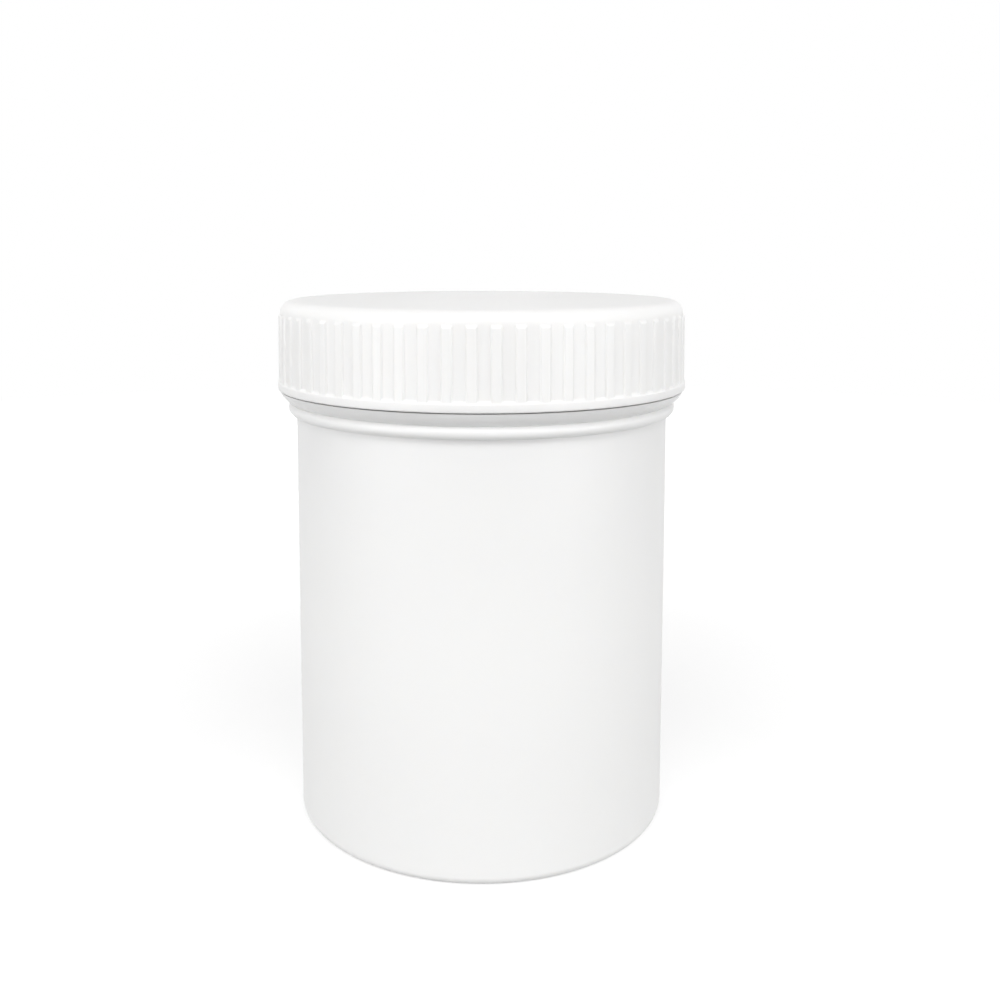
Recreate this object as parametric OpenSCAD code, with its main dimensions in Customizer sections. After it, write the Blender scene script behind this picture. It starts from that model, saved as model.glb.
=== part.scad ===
// Slide staining jar: a moulded jar with slide combs inside, and its ribbed screw cap with a liner.
// Millimetres. The origin is the centre of the base, +Z up; the slides stand across the X axis.
// Every width is built inwards from the cap, and every height upwards from the table.

/* [Cap] */
// Diameter of the cap over its grip ribs
cap_d = 72; // [66:0.5:90]
// Height of the grip ribs above the skirt between them
rib_h = 0.3; // [0.15:0.05:0.6]
// Number of grip ribs
rib_count = 60; // [36:4:80]
// Width of a grip rib at its crest
rib_crest_w = 1.4; // [0.8:0.1:1.7]
// Width that each flank of a grip rib adds at its foot
rib_flank_w = 0.2; // [0.05:0.05:0.3]
// Height of the sloping tip on top of each grip rib
rib_tip_h = 0.6; // [0.2:0.1:1.2]
// Angle that the first rib is turned to with the cap closed
rib_phase = 3.6; // [0:0.1:6]
// Height of the smooth ring below the ribs, up to its sloping shoulder
ring_h = 1.3; // [0.8:0.1:2.5]
// How far the ring stands out past the rib crests
ring_proud = 0.15; // [0.05:0.05:0.4]
// Rounding of the ring's lower edge
ring_edge_r = 0.15; // [0.1:0.05:0.5]
// Rounding of the cap's top edge
cap_corner_r = 2.1; // [1:0.1:2.4]
// Wall of the cap's skirt between the ribs
skirt_wall = 1.5; // [1.2:0.1:2]
// Thickness of the cap's top
cap_top_t = 2; // [1.2:0.1:3]

/* [Liner] */
// Thickness of the sealing liner in the cap
liner_t = 1.2; // [0.8:0.1:2]
// Gap all round the liner inside the cap
liner_clear = 0.3; // [0.2:0.05:0.6]

/* [Neck] */
// Height of the neck above the collar's top face
neck_h = 12.2; // [10:0.2:18]
// Wall of the neck
neck_wall = 1.7; // [1.2:0.1:2.5]
// Height kept free for the thread's crests on the neck
thread_h = 1.2; // [0.8:0.1:1.6]
// Running gap between the thread's crests and the cap
thread_clear = 0.3; // [0.2:0.05:0.5]
// Gap between the closed cap and the jar, at the collar and under the liner
seam = 0.2; // [0.1:0.05:0.5]
// Rounding of the rim's two edges
rim_edge_r = 0.4; // [0.2:0.1:0.6]

/* [Collar] */
// Height of the collar's top face above the table
collar_top_z = 74.6; // [60:0.1:110]
// How far the collar stays inside the cap's rib crests
collar_inset = 0.15; // [0.05:0.05:0.5]
// Radius of the collar's rounded side
collar_round = 4; // [3.6:0.1:5]
// Lean of the collar's side at its top edge, in degrees
collar_lean = 22; // [16:1:26]
// Radius of the rounded bead under the collar
bead_r = 1.15; // [0.8:0.05:1.2]
// How far the bead stands out from the body
bead_proud = 1.35; // [1.05:0.05:1.5]
// Depth of the bead's centre below the collar's top face
bead_drop = 3.15; // [2.6:0.05:3.2]

/* [Body] */
// Wall of the body
body_wall = 2.1; // [1.6:0.1:3]
// Draft of the body and its bore, in degrees
draft = 0.5; // [0.2:0.1:1]
// Thickness of the floor inside the foot ring
floor_t = 2; // [1.5:0.1:3]
// Depth of the hollow under the floor
foot_recess = 0.8; // [0.4:0.1:1.5]
// Width of the foot ring that the jar stands on
foot_w = 3; // [2:0.5:5]
// Rounding of the body's bottom edge
base_edge_r = 1.4; // [0.6:0.1:2]
// Rounding between the floor and the bore
floor_fillet_r = 2; // [1:0.5:4]
// Diameter of the gate mark in the middle of the base
gate_d = 4; // [2:0.5:8]

/* [Slide combs] */
// Width of a microscope slide
slide_w = 26; // [24:0.5:27]
// Clearance of a slide between the two combs
slide_clear = 0.8; // [0.4:0.1:1.5]
// Number of slots in each comb
slot_count = 5; // [3:1:6]
// Width of a slot, which takes two slides back to back
slot_w = 2.8; // [2.4:0.1:3.2]
// Thickness of a tooth at its root
tooth_root_w = 2.4; // [1.6:0.1:3]
// Thickness of a tooth at its nose
tooth_nose_w = 1.6; // [1:0.1:2]
// Length of a tooth
tooth_l = 2; // [1:0.1:3]
// Thickness of a comb's plate and of the web behind it
plate_t = 1.4; // [1:0.1:2]
// Length of plate beyond the last tooth at each end
plate_end = 4; // [1:0.5:6]
// Height of the combs above the floor
comb_h = 62; // [40:1:68]
// Slope at the top of the teeth that leads the slides in
lead_in = 1.6; // [0.5:0.1:2]

/* [Hidden] */
$fn = 180;
over = 1;          // how far cutting and joining shapes run past a face
rib_root = 0.05;   // how deep the ribs' tips end in the skirt

// radii, from the cap inwards
crest_r = cap_d/2;
skirt_r = crest_r - rib_h;
ring_r = crest_r + ring_proud;
cap_bore_r = skirt_r - skirt_wall;
neck_r = cap_bore_r - thread_clear - thread_h;
mouth_r = neck_r - neck_wall;
collar_r = crest_r - collar_inset;

// heights, from the table upwards
floor_z = foot_recess + floor_t;
rim_z = collar_top_z + neck_h;
cap_z = collar_top_z + seam;
ledge_z = cap_z + ring_h;
liner_z = rim_z + seam;
cap_ceiling_z = liner_z + liner_t;
top_z = cap_ceiling_z + cap_top_t;
rib_top_z = top_z - cap_corner_r;

// the body tapers with the draft, and its bore keeps the wall even
bead_z = collar_top_z - bead_drop;
function bore_r(z) = mouth_r - (rim_z - z)*tan(draft);
function body_r(z) = bore_r(z) + body_wall;
foot_r = body_r(0) - foot_w;

// the combs
slot_floor_x = (slide_w + slide_clear)/2;
slot_pitch = slot_w + tooth_root_w;
comb_l = slot_count*slot_pitch + tooth_root_w;
plate_l = comb_l + 2*plate_end;
comb_top_z = floor_z + comb_h;

// half outline of a disc from z0 to z1 with a rounded upper edge
module disc_outline(r, z0, z1, edge_r) {
    translate([0, z0]) square([r, z1 - z0 - edge_r]);
    translate([0, z0]) square([r - edge_r, z1 - z0]);
    translate([r - edge_r, z1 - edge_r]) circle(edge_r);
}

// half outline of a tapered barrel from z0 to z1 with a rounded lower edge
module barrel_outline(r0, z0, r1, z1, edge_r) {
    polygon([[0, z0], [r0 - edge_r, z0], [r0 - edge_r, z0 + edge_r], [r0, z0 + edge_r], [r1, z1], [0, z1]]);
    translate([r0 - edge_r, z0 + edge_r]) circle(edge_r);
}

// the collar's side is one arc, which leans inwards from the top face down to the bead
module collar_outline() {
    intersection() {
        translate([collar_r - collar_round*cos(collar_lean), collar_top_z + collar_round*sin(collar_lean)])
            circle(collar_round);
        translate([0, bead_z]) square([collar_r + over, bead_drop]);
    }
    translate([0, bead_z]) square([body_r(bead_z), bead_drop]);
    translate([body_r(bead_z) + bead_proud - bead_r, bead_z]) circle(bead_r);
}

module jar_outline() {
    barrel_outline(body_r(0), 0, body_r(bead_z), bead_z, base_edge_r);
    collar_outline();
    disc_outline(neck_r, bead_z, rim_z, rim_edge_r);
}

// the bore opens at the rim through a small rounded edge
module bore_outline() {
    barrel_outline(bore_r(floor_z), floor_z, mouth_r, rim_z + over, floor_fillet_r);
    difference() {
        translate([0, rim_z - rim_edge_r]) square([mouth_r + rim_edge_r, rim_edge_r + over]);
        translate([mouth_r + rim_edge_r, rim_z - rim_edge_r]) circle(rim_edge_r);
    }
}

// one comb for the +X side: teeth on a plate, and a web that ties the plate to the wall
module comb() {
    translate([slot_floor_x, -plate_l/2, 0]) cube([plate_t, plate_l, comb_top_z]);
    translate([slot_floor_x + plate_t/2, -plate_t/2, 0]) cube([crest_r, plate_t, comb_top_z]);
    intersection() {
        for (i = [0:slot_count])
            translate([slot_floor_x, (i - slot_count/2)*slot_pitch, 0]) linear_extrude(comb_top_z)
                polygon([[plate_t/2, tooth_root_w/2], [0, tooth_root_w/2], [-tooth_l, tooth_nose_w/2],
                         [-tooth_l, -tooth_nose_w/2], [0, -tooth_root_w/2], [plate_t/2, -tooth_root_w/2]]);
        translate([slot_floor_x, comb_l/2 + over, 0]) rotate([90, 0, 0]) linear_extrude(comb_l + 2*over)
            polygon([[-tooth_l, 0], [plate_t, 0], [plate_t, comb_top_z], [0, comb_top_z],
                     [-tooth_l, comb_top_z - lead_in]]);
    }
}

// the combs end in the middle of the wall and of the floor
module comb_space() {
    translate([0, 0, floor_z - floor_t/2])
        cylinder(r1 = bore_r(floor_z) + body_wall/2, r2 = bore_r(comb_top_z) + body_wall/2,
                 h = comb_h + floor_t/2);
}

module jar() {
    color("whitesmoke") {
        difference() {
            rotate_extrude() jar_outline();
            rotate_extrude() bore_outline();
            difference() {
                translate([0, 0, -over]) cylinder(r = foot_r, h = foot_recess + over);
                cylinder(d = gate_d, h = foot_recess + over);
            }
            translate([0, 0, -over]) cylinder(d = gate_d, h = over + foot_recess/2);
        }
        intersection() {
            union() for (side = [0, 180]) rotate(side) comb();
            comb_space();
        }
    }
}

// cross-section of one grip rib, rooted in the skirt's wall
module rib_outline() {
    root_r = skirt_r - skirt_wall/2;
    foot_w = rib_crest_w/2 + rib_flank_w;
    polygon([[root_r, -foot_w], [skirt_r, -foot_w], [crest_r, -rib_crest_w/2],
             [crest_r, rib_crest_w/2], [skirt_r, foot_w], [root_r, foot_w]]);
}

// the ribs' tips slope in to the skirt along one cone, which meets it at the cap's rounded corner
module tip_cone() {
    translate([0, 0, cap_z]) cylinder(r = crest_r + over, h = rib_top_z - rib_tip_h - cap_z);
    translate([0, 0, rib_top_z - rib_tip_h]) cylinder(r1 = crest_r, r2 = skirt_r - rib_root, h = rib_tip_h);
}

module grip_ribs() {
    intersection() {
        for (i = [0:rib_count - 1])
            rotate(rib_phase + i*360/rib_count) translate([0, 0, ledge_z - ring_h/2])
                linear_extrude(rib_top_z - ledge_z + ring_h/2) rib_outline();
        tip_cone();
    }
}

// the ring's shoulder slopes in to the skirt at 45 degrees, between and behind the ribs
module ring_outline() {
    slope = ring_r - skirt_r;
    translate([0, cap_z + ring_edge_r]) square([ring_r, ring_h - ring_edge_r]);
    translate([0, cap_z]) square([ring_r - ring_edge_r, ring_h]);
    translate([ring_r - ring_edge_r, cap_z + ring_edge_r]) circle(ring_edge_r);
    polygon([[0, ledge_z], [ring_r, ledge_z], [skirt_r, ledge_z + slope], [0, ledge_z + slope]]);
}

module screw_cap() {
    color("white") difference() {
        union() {
            rotate_extrude() {
                disc_outline(skirt_r, cap_z, top_z, cap_corner_r);
                ring_outline();
            }
            grip_ribs();
        }
        translate([0, 0, cap_z - over]) cylinder(r = cap_bore_r, h = cap_ceiling_z - cap_z + over);
    }
}

module cap_liner() {
    color("ivory") translate([0, 0, liner_z]) cylinder(r = cap_bore_r - liner_clear, h = liner_t);
}

jar();
screw_cap();
cap_liner();
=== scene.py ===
"""Slide staining jar: the finish of the moulded jar, the ribbed screw cap and its liner, and the
screw threads that join jar and cap."""

import math

import bpy
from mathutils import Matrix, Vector


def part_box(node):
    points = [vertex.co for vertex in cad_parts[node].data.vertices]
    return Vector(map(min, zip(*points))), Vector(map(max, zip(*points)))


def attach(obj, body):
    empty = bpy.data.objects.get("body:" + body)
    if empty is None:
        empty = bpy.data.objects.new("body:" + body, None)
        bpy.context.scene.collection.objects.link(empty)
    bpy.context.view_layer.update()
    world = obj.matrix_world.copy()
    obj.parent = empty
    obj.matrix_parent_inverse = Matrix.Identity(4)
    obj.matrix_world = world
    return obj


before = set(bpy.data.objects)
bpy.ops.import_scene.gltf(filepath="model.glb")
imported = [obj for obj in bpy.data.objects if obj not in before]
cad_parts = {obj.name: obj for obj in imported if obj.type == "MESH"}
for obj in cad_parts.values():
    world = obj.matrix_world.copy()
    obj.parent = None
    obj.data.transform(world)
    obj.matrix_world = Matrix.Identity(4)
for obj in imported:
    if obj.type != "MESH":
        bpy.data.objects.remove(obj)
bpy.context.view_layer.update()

MM = 0.001

bpy.context.scene.view_settings.view_transform = "Standard"

# The jar stands on z = 0 with its axis on Z. These corners of its pieces place what is added.
jar_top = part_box("jar")[1]
cap_bottom, cap_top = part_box("screw_cap")
liner_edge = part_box("cap_liner")[1].x

# ---------------------------------------------------------------- camera
CAMERA_PLACE = Vector((0, -205.3, 100.2)) * MM
CAMERA_PITCH = math.radians(3)
CAMERA_LENS = 41.15  # in mm, as is the sensor's width
CAMERA_SENSOR = 36
CAMERA_SHIFT = (0.0185, -0.1971)
CAMERA_NEAREST = 1 * MM


def make_camera():
    """The camera stands just above the cap and looks a little down, with its frame shifted down to
    hold the whole jar."""
    bpy.ops.object.camera_add()
    camera = bpy.context.object
    camera.name = "camera"
    camera.location = CAMERA_PLACE
    camera.rotation_euler = (math.pi / 2 - CAMERA_PITCH, 0, 0)
    camera.data.sensor_width = CAMERA_SENSOR
    camera.data.lens = CAMERA_LENS
    camera.data.shift_x, camera.data.shift_y = CAMERA_SHIFT
    camera.data.clip_start = CAMERA_NEAREST
    bpy.context.scene.camera = camera


# ---------------------------------------------------------------- materials
# A noise, cell or stretched pattern has one feature to each unit of its scale, so its scale is one
# over a real size. The wave texture's rings stand 0.31 apart at a scale of 1.
RINGS_APART = 0.31

POLYPROPYLENE_IOR = 1.49


def linear(hex_colour):
    """An sRGB hex colour as linear RGBA."""
    parts = [int(hex_colour[i : i + 2], 16) / 255 for i in (1, 3, 5)]
    return [c / 12.92 if c <= 0.04045 else ((c + 0.055) / 1.055) ** 2.4 for c in parts] + [1]


def add(owner, kind, inputs=None, **settings):
    """Adds a node with its settings. An input takes a value, or a link from a node's output."""
    tree = owner.node_tree
    node = tree.nodes.new(kind)
    for name, value in settings.items():
        setattr(node, name, value)
    for socket, value in (inputs or {}).items():
        if isinstance(value, bpy.types.NodeSocket):
            tree.links.new(value, node.inputs[socket])
        else:
            node.inputs[socket].default_value = value
    return node


def new_material(name):
    material = bpy.data.materials.new(name)
    material.use_nodes = True
    material.node_tree.nodes.clear()
    return material


def opaque_polypropylene():
    """Cap: polypropylene filled with titanium white, injection moulded in a blasted mould. It is
    dense white, nearly matt and a little uneven where the melt flowed, and its top keeps a trace of
    the rings that turning left on the mould's insert."""
    m = new_material("opaque_polypropylene")
    place = add(m, "ShaderNodeTexCoord").outputs["Object"]
    flow = add(m, "ShaderNodeTexNoise", {"Vector": place, "Scale": 1 / (9 * MM), "Detail": 2.0})
    # blasted mould steel has grains of about 0.05 mm, drawn at 0.4 mm so that they show
    grain = add(m, "ShaderNodeTexNoise", {"Vector": place, "Scale": 1 / (0.4 * MM), "Detail": 2.0})
    # a lathe leaves rings about 0.2 mm apart, drawn 1.2 mm apart so that they show
    turning = add(
        m,
        "ShaderNodeTexWave",
        {"Vector": place, "Scale": RINGS_APART / (1.2 * MM), "Distortion": 0.6, "Detail": 1.0},
        wave_type="RINGS",
        rings_direction="Z",
    )
    # the ribs' edges come out of the mould with a radius of about 0.3 mm
    edges = add(m, "ShaderNodeBevel", {"Radius": 0.3 * MM}, samples=8)
    relief = add(
        m,
        "ShaderNodeBump",
        {
            "Height": grain.outputs["Fac"],
            "Distance": 0.008 * MM,
            "Strength": 0.5,
            "Normal": edges.outputs["Normal"],
        },
    )
    relief = add(
        m,
        "ShaderNodeBump",
        {
            "Height": turning.outputs["Fac"],
            "Distance": 0.01 * MM,
            "Strength": 0.6,
            "Normal": relief.outputs["Normal"],
        },
    )
    tone = add(
        m,
        "ShaderNodeMix",
        {"Factor": flow.outputs["Fac"], "A": linear("#f2f1f0"), "B": linear("#f5f5f4")},
        data_type="RGBA",
    )
    gloss = add(
        m, "ShaderNodeMapRange", {"Value": flow.outputs["Fac"], "To Min": 0.32, "To Max": 0.42}
    )
    plastic = add(
        m,
        "ShaderNodeBsdfPrincipled",
        {
            "Base Color": tone.outputs["Result"],
            "Diffuse Roughness": 0.7,
            "Roughness": gloss.outputs["Result"],
            "IOR": POLYPROPYLENE_IOR,
            "Specular IOR Level": 0.4,
            "Normal": relief.outputs["Normal"],
            "Subsurface Weight": 0.55,
            "Subsurface Radius": (1, 0.97, 0.93),
            "Subsurface Scale": 1.8 * MM,
        },
    )
    add(m, "ShaderNodeOutputMaterial", {"Surface": plastic.outputs["BSDF"]})
    return m


def milky_polypropylene():
    """Jar: nearly natural polypropylene, injection moulded. It is milky and a little waxy and lets
    light through its wall. Polishing the mould along its draw left faint upright streaks."""
    m = new_material("milky_polypropylene")
    place = add(m, "ShaderNodeTexCoord").outputs["Object"]
    flow = add(m, "ShaderNodeTexNoise", {"Vector": place, "Scale": 1 / (14 * MM), "Detail": 2.0})
    # the streaks are about 2.2 mm wide and 70 mm long
    upright = add(
        m,
        "ShaderNodeMapping",
        {"Vector": place, "Scale": (1 / (2.2 * MM), 1 / (2.2 * MM), 1 / (70 * MM))},
    )
    streaks = add(
        m, "ShaderNodeTexNoise", {"Vector": upright.outputs["Vector"], "Scale": 1.0, "Detail": 1.0}
    )
    # polished steel has marks finer than 0.05 mm, drawn at 0.4 mm so that they show
    grain = add(m, "ShaderNodeTexNoise", {"Vector": place, "Scale": 1 / (0.4 * MM), "Detail": 2.0})
    relief = add(
        m,
        "ShaderNodeBump",
        {"Height": grain.outputs["Fac"], "Distance": 0.008 * MM, "Strength": 0.5},
    )
    relief = add(
        m,
        "ShaderNodeBump",
        {
            "Height": streaks.outputs["Fac"],
            "Distance": 0.02 * MM,
            "Strength": 0.4,
            "Normal": relief.outputs["Normal"],
        },
    )
    tone = add(
        m,
        "ShaderNodeMix",
        {"Factor": flow.outputs["Fac"], "A": linear("#efefef"), "B": linear("#f2f2f1")},
        data_type="RGBA",
    )
    # painted shade: light comes in through the milky wall but not through the cap, so the wall's
    # colour is painted darker near the cap and whiter lower down
    height = add(m, "ShaderNodeSeparateXYZ", {"Vector": place})
    painted_shade_fade = add(
        m,
        "ShaderNodeMapRange",
        {"Value": height.outputs["Z"], "From Min": 66 * MM, "From Max": 30 * MM},
        interpolation_type="SMOOTHSTEP",
    )
    tone = add(
        m,
        "ShaderNodeMix",
        {"Factor": painted_shade_fade.outputs["Result"], "A": tone.outputs["Result"], "B": linear("#f6f6f5")},
        data_type="RGBA",
    )
    gloss = add(
        m, "ShaderNodeMapRange", {"Value": streaks.outputs["Fac"], "To Min": 0.34, "To Max": 0.46}
    )
    plastic = add(
        m,
        "ShaderNodeBsdfPrincipled",
        {
            "Base Color": tone.outputs["Result"],
            "Roughness": gloss.outputs["Result"],
            "IOR": POLYPROPYLENE_IOR,
            "Normal": relief.outputs["Normal"],
            "Subsurface Weight": 0.3,
            "Subsurface Radius": (1, 0.97, 0.92),
            "Subsurface Scale": 1.0 * MM,
        },
    )
    add(m, "ShaderNodeOutputMaterial", {"Surface": plastic.outputs["BSDF"]})
    return m


def polyethylene_foam():
    """Liner: a disc stamped from extruded polyethylene foam. It is matt and a little yellow, and
    fine closed cells pit it all over."""
    m = new_material("polyethylene_foam")
    place = add(m, "ShaderNodeTexCoord").outputs["Object"]
    # the cells are 0.2 to 0.4 mm across, drawn at 0.6 mm so that they show
    cells = add(m, "ShaderNodeTexVoronoi", {"Vector": place, "Scale": 1 / (0.6 * MM)})
    cloud = add(m, "ShaderNodeTexNoise", {"Vector": place, "Scale": 1 / (5 * MM), "Detail": 3.0})
    relief = add(
        m,
        "ShaderNodeBump",
        {"Height": cells.outputs["Distance"], "Distance": 0.06 * MM, "Strength": 0.7},
    )
    tone = add(
        m,
        "ShaderNodeMix",
        {"Factor": cloud.outputs["Fac"], "A": linear("#ebe8de"), "B": linear("#f2efe7")},
        data_type="RGBA",
    )
    plastic = add(
        m,
        "ShaderNodeBsdfPrincipled",
        {
            "Base Color": tone.outputs["Result"],
            "Roughness": 0.75,
            "IOR": 1.5,
            "Normal": relief.outputs["Normal"],
        },
    )
    add(m, "ShaderNodeOutputMaterial", {"Surface": plastic.outputs["BSDF"]})
    return m


# ---------------------------------------------------------------- screw threads
THREAD_PITCH = 6 * MM
THREAD_HEIGHT = 1.2 * MM
THREAD_CLEARANCE = 0.3 * MM  # from a crest to the other piece's wall
THREAD_PLAY = 0.25 * MM  # between the flanks, along the axis, over what the clearance gives
THREAD_FOOT_WIDTH = 2.6 * MM
THREAD_CREST_WIDTH = 1.2 * MM
THREAD_EDGE = 0.25 * MM  # how much of each edge the rounding takes
THREAD_ROOT = 0.2 * MM  # how deep a ridge is rooted in its wall
STEPS_A_TURN = 72
RUN_OUT_STEPS = 7  # a ridge's ends swell out of the wall over this many steps
SMOOTH_BELOW = math.radians(35)
SAME_PLACE = 0.01 * MM

# The middle of each thread's lower end, and how far it winds.
NECK_THREAD_START = jar_top.z - 10 * MM
NECK_THREAD_TURNS = 1.4
CAP_THREAD_START = cap_bottom.z + 1.7 * MM
CAP_THREAD_TURNS = 1.25

# The liner's edge is the thread clearance inside the cap's bore, and so is the neck thread's crest.
CAP_BORE = liner_edge + THREAD_CLEARANCE
NECK_RADIUS = liner_edge - THREAD_HEIGHT


def select_where(piece, wanted):
    """Leaves edit mode's vertex selection on the vertices that wanted() picks."""
    bpy.ops.object.mode_set(mode="EDIT")
    bpy.ops.mesh.select_mode(type="VERT")
    bpy.ops.mesh.select_all(action="DESELECT")
    bpy.ops.object.mode_set(mode="OBJECT")
    for vertex in piece.data.vertices:
        vertex.select = wanted(vertex)
    bpy.ops.object.mode_set(mode="EDIT")


def thread_ridge(name, wall_radius, outward, start_height, start_angle, turns):
    """A trapezoid swept up a right-hand helix round Z, its two ends run out into the wall. Outward
    is 1 for a thread that stands out from its wall and -1 for one that stands in from it."""
    root = wall_radius - outward * THREAD_ROOT
    crest = wall_radius + outward * THREAD_HEIGHT
    bpy.ops.object.select_all(action="DESELECT")
    bpy.ops.mesh.primitive_plane_add(
        size=1, location=((root + crest) / 2, 0, start_height), rotation=(math.pi / 2, 0, 0)
    )
    ridge = bpy.context.object
    ridge.name = name
    ridge.scale = (abs(crest - root), THREAD_FOOT_WIDTH, 1)
    bpy.ops.object.transform_apply(location=True, rotation=True, scale=True)
    select_where(ridge, lambda vertex: abs(vertex.co.x - crest) < SAME_PLACE)
    bpy.ops.transform.resize(
        value=(1, 1, THREAD_CREST_WIDTH / THREAD_FOOT_WIDTH),
        center_override=(crest, 0, start_height),
    )
    bpy.ops.mesh.bevel(offset=THREAD_EDGE, segments=3, affect="VERTICES")
    bpy.ops.mesh.select_all(action="SELECT")
    bpy.ops.mesh.delete(type="ONLY_FACE")
    bpy.ops.object.mode_set(mode="OBJECT")
    outline_points = len(ridge.data.vertices)
    sweep = ridge.modifiers.new("sweep", "SCREW")
    sweep.axis = "Z"
    sweep.angle = 2 * math.pi * turns
    sweep.screw_offset = THREAD_PITCH * turns
    sweep.steps = round(STEPS_A_TURN * turns)
    sweep.render_steps = sweep.steps
    bpy.ops.object.modifier_apply(modifier="sweep")
    rings = len(ridge.data.vertices) // outline_points
    for step in range(RUN_OUT_STEPS):
        share = math.sin(math.pi / 2 * (step + 0.2) / RUN_OUT_STEPS)
        for ring in (step, rings - 1 - step):
            angle = 2 * math.pi * turns * ring / (rings - 1)
            foot = (
                root * math.cos(angle),
                root * math.sin(angle),
                start_height + THREAD_PITCH * angle / (2 * math.pi),
            )
            select_where(ridge, lambda vertex: vertex.index // outline_points == ring)
            bpy.ops.transform.resize(value=(share, share, share), center_override=foot)
            bpy.ops.object.mode_set(mode="OBJECT")
    bpy.ops.object.mode_set(mode="EDIT")
    bpy.ops.mesh.select_all(action="SELECT")
    bpy.ops.mesh.fill_holes(sides=0)
    bpy.ops.mesh.normals_make_consistent(inside=False)
    bpy.ops.transform.rotate(value=-start_angle, orient_axis="Z", center_override=(0, 0, 0))
    bpy.ops.object.mode_set(mode="OBJECT")
    bpy.ops.object.shade_smooth_by_angle(angle=SMOOTH_BELOW)
    return ridge


def make_threads(jar_plastic, cap_plastic):
    """The cap's ridge starts at the angle that keeps it just below the jar's, flank to flank with
    a little play, all the way round."""
    flank = (THREAD_FOOT_WIDTH - THREAD_CREST_WIDTH) / 2 * THREAD_CLEARANCE / THREAD_HEIGHT
    drop = THREAD_FOOT_WIDTH / 2 - flank + THREAD_CREST_WIDTH / 2 + THREAD_PLAY
    cap_angle = 2 * math.pi * (CAP_THREAD_START - NECK_THREAD_START + drop) / THREAD_PITCH
    neck_thread = thread_ridge(
        "neck_thread", NECK_RADIUS, 1, NECK_THREAD_START, 0, NECK_THREAD_TURNS
    )
    cap_thread = thread_ridge(
        "cap_thread", CAP_BORE, -1, CAP_THREAD_START, cap_angle, CAP_THREAD_TURNS
    )
    for ridge, body, slot, plastic in (
        (neck_thread, "jar", "jar_plastic", jar_plastic),
        (cap_thread, "cap", "cap_plastic", cap_plastic),
    ):
        ridge.data.materials.append(plastic)
        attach(ridge, body)


# ---------------------------------------------------------------- floor and light
FLOOR_RADIUS = 0.6
GLOW_RISES_FROM = 60 * MM  # from the jar's axis
GLOW_RISES_TO = 300 * MM

# Name, azimuth and elevation in degrees, distance and width in metres, and power in watts.
# The high lamps light the cap's top and the shade under its edge, and the low ones the wall.
SOFTBOXES = (
    ("front_left_softbox", -25, 42, 1, 0.4, 2.1),
    ("front_right_softbox", 25, 42, 1, 0.4, 2.05),
    ("top_softbox", 0, 60, 1, 0.6, 2.5),
    ("left_softbox", -50, 3, 0.5, 0.3, 0.97),
    ("right_softbox", 50, 3, 0.5, 0.3, 0.92),
    ("side_left_softbox", -80, 3, 0.5, 0.4, 0.6),
    ("side_right_softbox", 80, 3, 0.5, 0.4, 0.6),
    ("back_softbox", 180, 0, 0.5, 0.1, 0.9),
)


def seen_directly(owner):
    """1 on a ray from the camera, off a gloss or through something clear, and 0 on one that
    lights."""
    path = add(owner, "ShaderNodeLightPath")
    seen = path.outputs["Is Camera Ray"]
    for other in ("Is Glossy Ray", "Is Transmission Ray"):
        either = add(
            owner, "ShaderNodeMath", {0: seen, 1: path.outputs[other]}, operation="MAXIMUM"
        )
        seen = either.outputs["Value"]
    return seen


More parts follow.
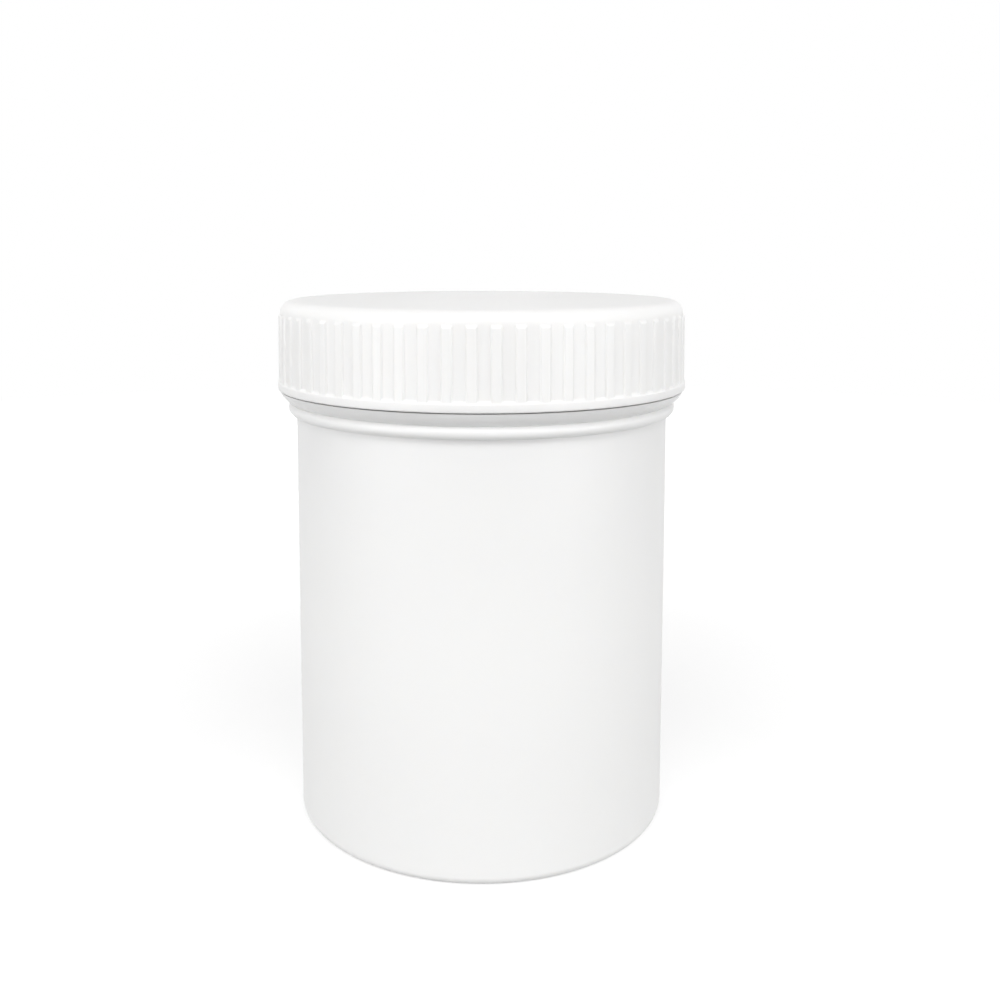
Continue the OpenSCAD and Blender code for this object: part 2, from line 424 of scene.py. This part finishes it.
def make_floor():
    """A round sheet of matt card that shows white and keeps the jar's shadow. It glows more away
    from the jar, where less lamplight falls, so its far edge doesn't show."""
    bpy.ops.object.select_all(action="DESELECT")
    bpy.ops.mesh.primitive_circle_add(vertices=96, radius=FLOOR_RADIUS, fill_type="NGON")
    floor = bpy.context.object
    floor.name = "floor"
    m = new_material("pale_card")
    place = add(m, "ShaderNodeTexCoord").outputs["Object"]
    away = add(m, "ShaderNodeVectorMath", {0: place}, operation="LENGTH")
    spread = add(
        m,
        "ShaderNodeMapRange",
        {
            "Value": away.outputs["Value"],
            "From Min": GLOW_RISES_FROM,
            "From Max": GLOW_RISES_TO,
            "To Min": 0.7,
            "To Max": 0.93,
        },
    )
    glow = add(
        m,
        "ShaderNodeMath",
        {0: seen_directly(m), 1: spread.outputs["Result"]},
        operation="MULTIPLY",
    )
    matt = add(m, "ShaderNodeBsdfDiffuse", {"Color": linear("#a8a8a8")})
    white = add(m, "ShaderNodeEmission", {"Strength": glow.outputs["Value"]})
    card = add(m, "ShaderNodeAddShader", {0: matt.outputs["BSDF"], 1: white.outputs["Emission"]})
    add(m, "ShaderNodeOutputMaterial", {"Surface": card.outputs["Shader"]})
    floor.data.materials.append(m)


def make_world():
    """The backdrop is white where it is seen, and as a light it is only a soft fill."""
    world = bpy.data.worlds.new("studio")
    bpy.context.scene.world = world
    world.use_nodes = True
    world.node_tree.nodes.clear()
    fill = add(world, "ShaderNodeBackground", {"Color": (1, 1, 1, 1), "Strength": 0.15})
    white = add(world, "ShaderNodeBackground", {"Color": (1, 1, 1, 1), "Strength": 1.0})
    backdrop = add(
        world,
        "ShaderNodeMixShader",
        {
            "Fac": seen_directly(world),
            1: fill.outputs["Background"],
            2: white.outputs["Background"],
        },
    )
    add(world, "ShaderNodeOutputWorld", {"Surface": backdrop.outputs["Shader"]})


def softbox(name, azimuth, elevation, distance, width, watts):
    """A square lamp that looks at the jar's middle. Azimuth 0 is the front and 90 the right."""
    around, up = math.radians(azimuth), math.radians(elevation)
    middle = Vector((0, 0, cap_top.z / 2))
    away = Vector(
        (math.sin(around) * math.cos(up), -math.cos(around) * math.cos(up), math.sin(up))
    )
    bpy.ops.object.light_add(type="AREA", location=middle + distance * away)
    lamp = bpy.context.object
    lamp.name = name
    lamp.rotation_euler = away.to_track_quat("Z", "Y").to_euler()
    lamp.data.size = width
    lamp.data.energy = watts
    lamp.visible_camera = False


make_camera()
make_floor()
make_world()
for lamp in SOFTBOXES:
    softbox(*lamp)

cap_plastic = opaque_polypropylene()
jar_plastic = milky_polypropylene()
liner_foam = polyethylene_foam()
for node, material in (
    ("jar", jar_plastic),
    ("screw_cap", cap_plastic),
    ("cap_liner", liner_foam),
):
    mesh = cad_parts[node].data
    mesh.materials.clear()
    mesh.materials.append(material)
make_threads(jar_plastic, cap_plastic)
